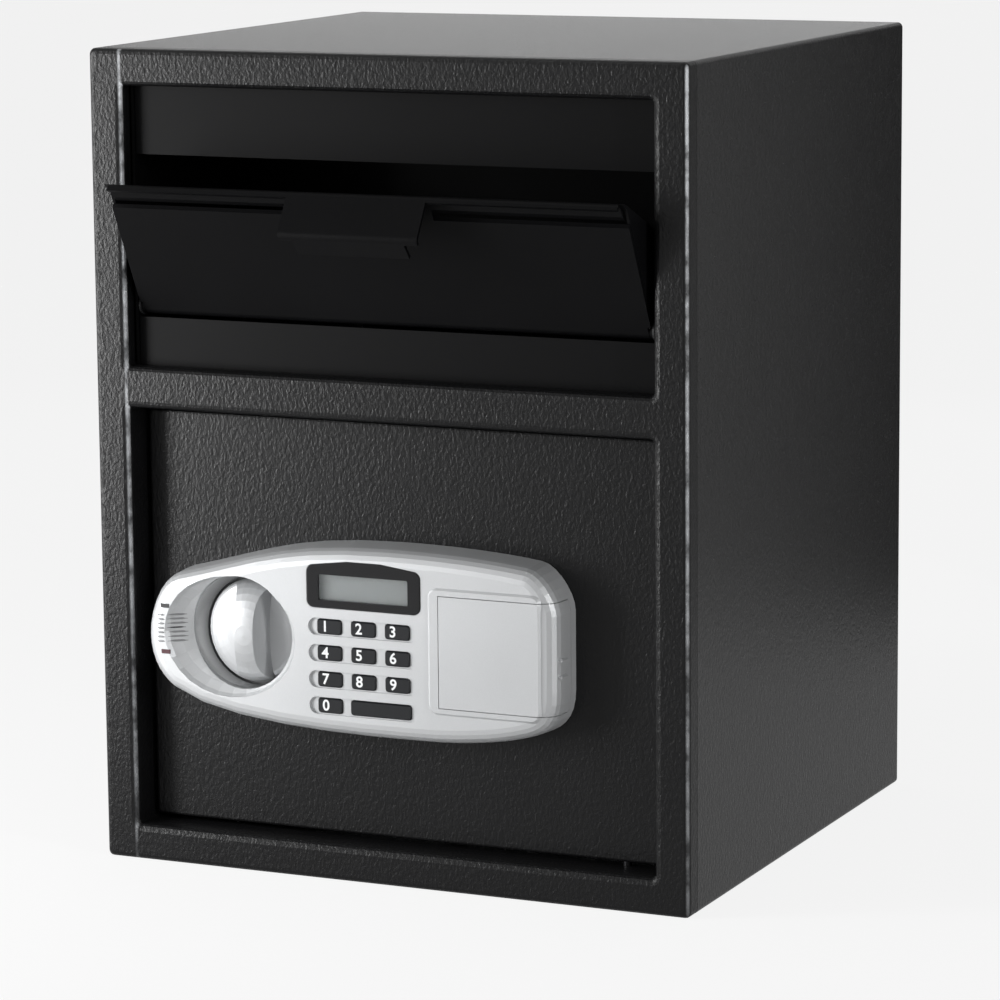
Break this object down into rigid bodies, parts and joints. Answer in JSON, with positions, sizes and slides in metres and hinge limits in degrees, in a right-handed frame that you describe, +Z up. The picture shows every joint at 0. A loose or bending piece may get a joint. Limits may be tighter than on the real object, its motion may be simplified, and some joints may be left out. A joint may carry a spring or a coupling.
{
  "type": "drop safe with deposit drawer",
  "caption": "Front-load depository safe: tilting deposit drawer over a recessed, bolted door with an oval electronic lock panel and turn knob.",
  "frame": {"origin": "centre of the base, on the plane that the safe stands on", "axes": "+X to the right as seen from the front, -Y out of the front, +Z up"},
  "size_m": [0.35, 0.3711, 0.45],
  "materials": {
    "body_coat": "black powder coat with a fine pitted grain",
    "door_coat": "black powder coat with a fine pitted grain",
    "hopper_coat": "smooth black coat",
    "drawer_coat": "black coat with a faint grain",
    "bare_steel": "plated steel",
    "bolt_chrome": "bright plated bar",
    "silver_plastic": "silver painted plastic",
    "gloss_black": "glossy black",
    "black_plastic": "matt black",
    "window_clear": "clear plastic",
    "display_grey": "unlit grey display",
    "key_rubber": "dark rubber with printed marks",
    "board_green": "solder mask",
    "cell_wrap": "plain cell wrapping",
    "nylon": "natural nylon",
    "felt": "grey felt"
  },
  "bodies": {
    "carcass": {"body_wrap": "body_coat", "front_frame": "body_coat", "back_panel": "body_coat", "floor_mat": "felt", "hopper_side_left": "hopper_coat", "hopper_side_right": "hopper_coat", "upper_fascia": "hopper_coat", "sill_plate": "hopper_coat", "hopper_shelf": "hopper_coat", "fishing_baffle": "hopper_coat", "hinge_bracket_top": "bare_steel", "hinge_bracket_bottom": "bare_steel", "drawer_bush_left": "nylon", "drawer_bush_right": "nylon"},
    "drawer": {"drawer_panel": "drawer_coat", "drawer_cheek_left": "drawer_coat", "drawer_cheek_right": "drawer_coat", "drawer_tray": "drawer_coat", "drawer_rod": "bare_steel"},
    "door": {"door_plate": "door_coat", "bolt_box_cover": "hopper_coat", "door_pin_top": "bare_steel", "door_pin_bottom": "bare_steel", "bolt_guide": "bare_steel", "solenoid_body": "black_plastic", "lock_housing": "silver_plastic", "display_bezel": "gloss_black", "display_window": "window_clear", "display_panel": "display_grey", "key_mat": "key_rubber", "circuit_board": "board_green", "battery_tray": "black_plastic", "battery_1": "cell_wrap", "battery_2": "cell_wrap", "battery_3": "cell_wrap", "battery_4": "cell_wrap"},
    "knob_unit": {"knob": "silver_plastic", "knob_spindle": "bare_steel"},
    "bolts": {"bolt_carriage": "bare_steel", "bolt_upper": "bolt_chrome", "bolt_lower": "bolt_chrome"},
    "plunger": {"solenoid_plunger": "bare_steel"},
    "cover": {"battery_cover": "silver_plastic"},
    "button_1": {"key_1": "key_rubber"},
    "button_2": {"key_2": "key_rubber"},
    "button_3": {"key_3": "key_rubber"},
    "button_4": {"key_4": "key_rubber"},
    "button_5": {"key_5": "key_rubber"},
    "button_6": {"key_6": "key_rubber"},
    "button_7": {"key_7": "key_rubber"},
    "button_8": {"key_8": "key_rubber"},
    "button_9": {"key_9": "key_rubber"},
    "button_0": {"key_0": "key_rubber"},
    "button_enter": {"key_enter": "key_rubber"}
  },
  "joints": [
    {"name": "drawer_tilt", "type": "hinge", "parent": "carcass", "child": "drawer", "pos_m": [0, -0.1505, 0.3095], "axis": [1, 0, 0], "range_deg": [-27.5, 0]},
    {"name": "door_swing", "type": "hinge", "parent": "carcass", "child": "door", "pos_m": [0.131, -0.143, 0.137], "axis": [0, 0, 1], "range_deg": [0, 90]},
    {"name": "knob_turn", "type": "hinge", "parent": "door", "child": "knob_unit", "pos_m": [-0.0815, -0.165, 0.1345], "axis": [0, -1, 0], "range_deg": [0, 80]},
    {"name": "bolt_throw", "type": "slide", "parent": "door", "child": "bolts", "axis": [-1, 0, 0], "range_m": [0, 0.014]},
    {"name": "plunger_lift", "type": "slide", "parent": "door", "child": "plunger", "axis": [0, 0, 1], "range_m": [0, 0.005], "stiffness_N_per_m": 40},
    {"name": "cover_slide", "type": "slide", "parent": "door", "child": "cover", "axis": [1, 0, 0], "range_m": [0, 0.008]},
    {"name": "press_1", "type": "slide", "parent": "door", "child": "button_1", "axis": [0, 1, 0], "range_m": [0, 0.0012], "stiffness_N_per_m": 300},
    {"name": "press_2", "type": "slide", "parent": "door", "child": "button_2", "axis": [0, 1, 0], "range_m": [0, 0.0012], "stiffness_N_per_m": 300},
    {"name": "press_3", "type": "slide", "parent": "door", "child": "button_3", "axis": [0, 1, 0], "range_m": [0, 0.0012], "stiffness_N_per_m": 300},
    {"name": "press_4", "type": "slide", "parent": "door", "child": "button_4", "axis": [0, 1, 0], "range_m": [0, 0.0012], "stiffness_N_per_m": 300},
    {"name": "press_5", "type": "slide", "parent": "door", "child": "button_5", "axis": [0, 1, 0], "range_m": [0, 0.0012], "stiffness_N_per_m": 300},
    {"name": "press_6", "type": "slide", "parent": "door", "child": "button_6", "axis": [0, 1, 0], "range_m": [0, 0.0012], "stiffness_N_per_m": 300},
    {"name": "press_7", "type": "slide", "parent": "door", "child": "button_7", "axis": [0, 1, 0], "range_m": [0, 0.0012], "stiffness_N_per_m": 300},
    {"name": "press_8", "type": "slide", "parent": "door", "child": "button_8", "axis": [0, 1, 0], "range_m": [0, 0.0012], "stiffness_N_per_m": 300},
    {"name": "press_9", "type": "slide", "parent": "door", "child": "button_9", "axis": [0, 1, 0], "range_m": [0, 0.0012], "stiffness_N_per_m": 300},
    {"name": "press_0", "type": "slide", "parent": "door", "child": "button_0", "axis": [0, 1, 0], "range_m": [0, 0.0012], "stiffness_N_per_m": 300},
    {"name": "press_enter", "type": "slide", "parent": "door", "child": "button_enter", "axis": [0, 1, 0], "range_m": [0, 0.0012], "stiffness_N_per_m": 300}
  ],
  "couplings": [
    {"joint": "knob_turn", "follows": "bolt_throw", "rad_per_m": 99.733}
  ]
}
